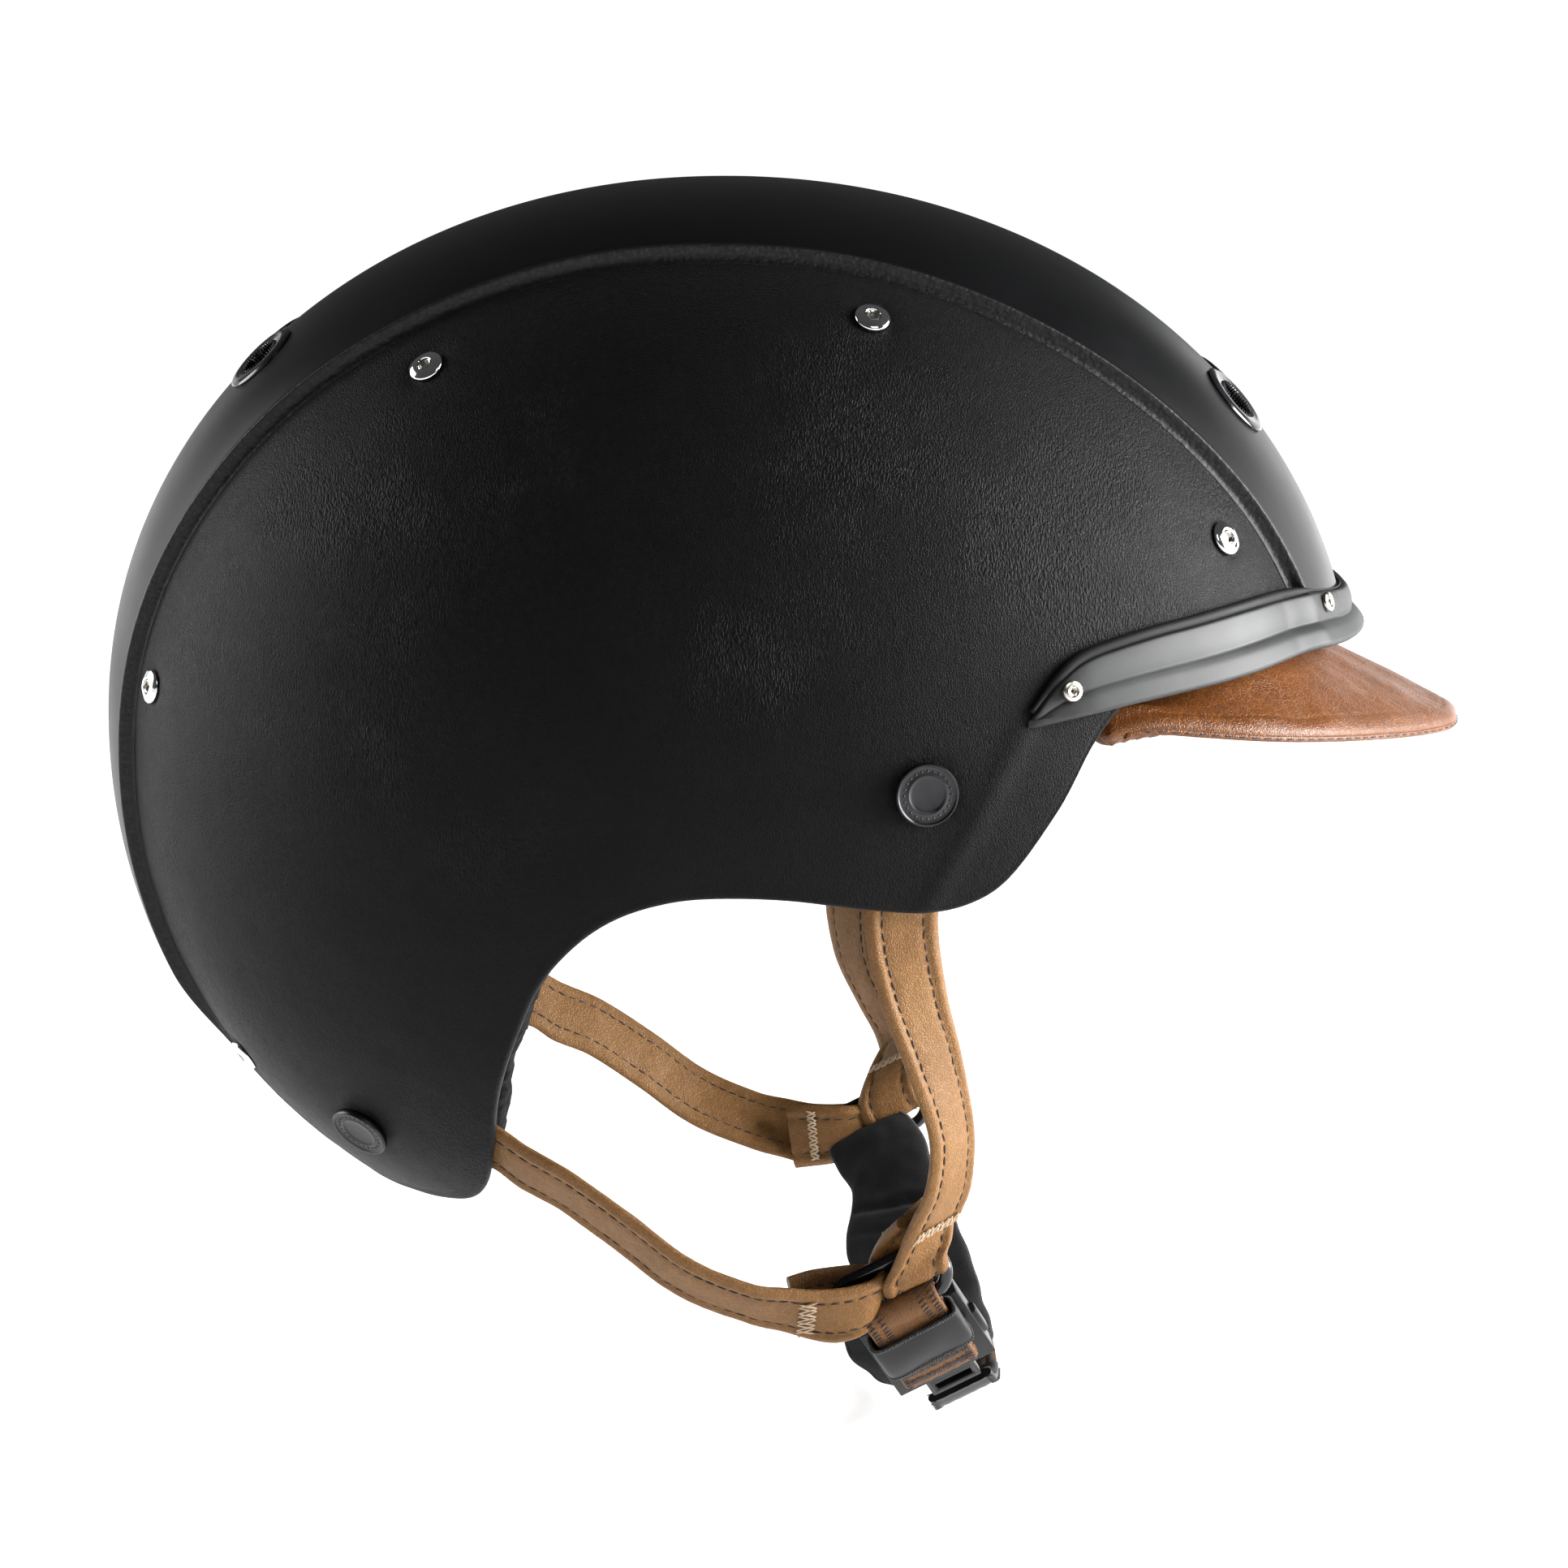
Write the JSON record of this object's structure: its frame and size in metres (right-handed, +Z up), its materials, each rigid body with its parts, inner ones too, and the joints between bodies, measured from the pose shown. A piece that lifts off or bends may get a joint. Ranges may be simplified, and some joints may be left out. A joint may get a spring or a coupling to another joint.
{
  "type": "bicycle helmet",
  "caption": "Leather-look bicycle and riding helmet with raised centre shell, soft peak, leather V straps, ring-hung chin strap with buckle, foam liner and dial-adjusted nape cradle.",
  "frame": {"origin": "centre of the head cavity at the height of the brow", "axes": "+X to the front (the peak), +Y to the wearer's left, +Z up"},
  "size_m": [0.3108, 0.206, 0.2841],
  "materials": {
    "side_leather": "black leather-look skin, fine irregular pebble grain, satin",
    "shell_black": "satin black moulded shell, faint grain",
    "foam": "black bead foam, stands in for expanded polystyrene",
    "trim_plastic": "dark grey satin moulded trim",
    "rubber_black": "matte black rubber",
    "screw_steel": "nickel-plated steel",
    "grommet": "gloss black",
    "chrome": "polished chrome",
    "gunmetal": "dark gunmetal plating",
    "steel_stud": "plain steel",
    "socket_plastic": "matte black moulded",
    "lining_fabric": "black brushed knit lining over foam",
    "mesh_lining": "thick black spacer mesh with a fuzzy face",
    "strap_leather": "tan leather, turned edges, dark stitches",
    "cradle_plastic": "matte black moulded",
    "dial_rubber": "soft-touch black",
    "gear_plastic": "natural acetal",
    "peak_leather": "soft brown crackled leather",
    "ring_wire": "gloss black enamelled wire",
    "webbing_brown": "brown stitched strap edge",
    "chin_velvet": "black velvet-faced softshell with an overlocked edge",
    "buckle_plastic": "satin black moulded",
    "pin_steel": "plain steel"
  },
  "bodies": {
    "helmet": {"center_shell": "shell_black", "side_shell_right": "side_leather", "side_shell_left": "side_leather", "eps_liner": "foam", "brow_trim": "trim_plastic", "trim_gasket": "rubber_black", "trim_screws": "screw_steel", "vent_grommets": "grommet", "shell_rivets": "chrome", "strap_snap_caps": "gunmetal", "strap_studs": "steel_stud", "peak_socket": "socket_plastic", "brow_pad": "lining_fabric", "crown_pad": "lining_fabric", "side_pads": "lining_fabric", "neck_pad_right": "mesh_lining", "neck_pad_left": "mesh_lining", "front_strap_right": "strap_leather", "front_strap_left": "strap_leather", "rear_strap_right": "strap_leather", "rear_strap_left": "strap_leather", "strap_loops_right": "strap_leather", "strap_loops_left": "strap_leather", "cradle_hanger": "cradle_plastic", "cradle_pin": "pin_steel"},
    "chin": {"strap_ring_right": "ring_wire", "strap_ring_left": "ring_wire", "chin_webbing_right": "webbing_brown", "chin_webbing_left": "webbing_brown", "chin_pad": "chin_velvet", "buckle_housing": "buckle_plastic", "buckle_cover": "buckle_plastic"},
    "keeper": {"webbing_keeper": "rubber_black"},
    "tongue": {"buckle_tongue": "buckle_plastic"},
    "button": {"buckle_button": "buckle_plastic"},
    "cradle": {"cradle_yoke": "cradle_plastic", "gear_housing": "cradle_plastic", "nape_pad": "lining_fabric"},
    "dial": {"adjuster_dial": "dial_rubber", "drive_pinion": "gear_plastic"},
    "arm_right": {"rack_arm_right": "cradle_plastic", "arm_pad_right": "lining_fabric"},
    "arm_left": {"rack_arm_left": "cradle_plastic", "arm_pad_left": "lining_fabric"},
    "peak": {"peak_leather": "peak_leather", "peak_tongue": "socket_plastic"}
  },
  "joints": [
    {"name": "chin_swing", "type": "hinge", "parent": "helmet", "child": "chin", "pos_m": [0.037, 0, -0.131], "axis": [0, -1, 0], "range_deg": [-40, 35], "deforming": ["strap_loops_right", "strap_loops_left"]},
    {"name": "keeper_slide", "type": "slide", "parent": "chin", "child": "keeper", "axis": [0.3626, 0.6018, -0.7116], "range_m": [-0.001, 0.007]},
    {"name": "tongue_slide", "type": "slide", "parent": "chin", "child": "tongue", "axis": [0.3626, 0.6018, -0.7116], "range_m": [0, 0.014], "deforming": ["chin_webbing_left"]},
    {"name": "button_press", "type": "slide", "parent": "chin", "child": "button", "axis": [-0.891, 0, -0.454], "range_m": [0, 0.0022], "stiffness_N_per_m": 600, "springref_m": -0.0005},
    {"name": "cradle_tilt", "type": "hinge", "parent": "helmet", "child": "cradle", "pos_m": [-0.091, 0, -0.057], "axis": [0, -1, 0], "range_deg": [-2, 8]},
    {"name": "dial_turn", "type": "hinge", "parent": "cradle", "child": "dial", "pos_m": [-0.09, 0, -0.091], "axis": [1, 0, 0], "range_deg": [-86, 22]},
    {"name": "arm_right_slide", "type": "slide", "parent": "cradle", "child": "arm_right", "axis": [0, -1, 0], "range_m": [-0.006, 0.0015]},
    {"name": "arm_left_slide", "type": "slide", "parent": "cradle", "child": "arm_left", "axis": [0, 1, 0], "range_m": [-0.006, 0.0015]},
    {"name": "peak_slide", "type": "slide", "parent": "helmet", "child": "peak", "axis": [1, 0, 0], "range_m": [0, 0.035]}
  ],
  "couplings": [
    {"joint": "dial_turn", "follows": "arm_right_slide", "rad_per_m": 250},
    {"joint": "arm_left_slide", "follows": "arm_right_slide", "ratio": 1}
  ]
}
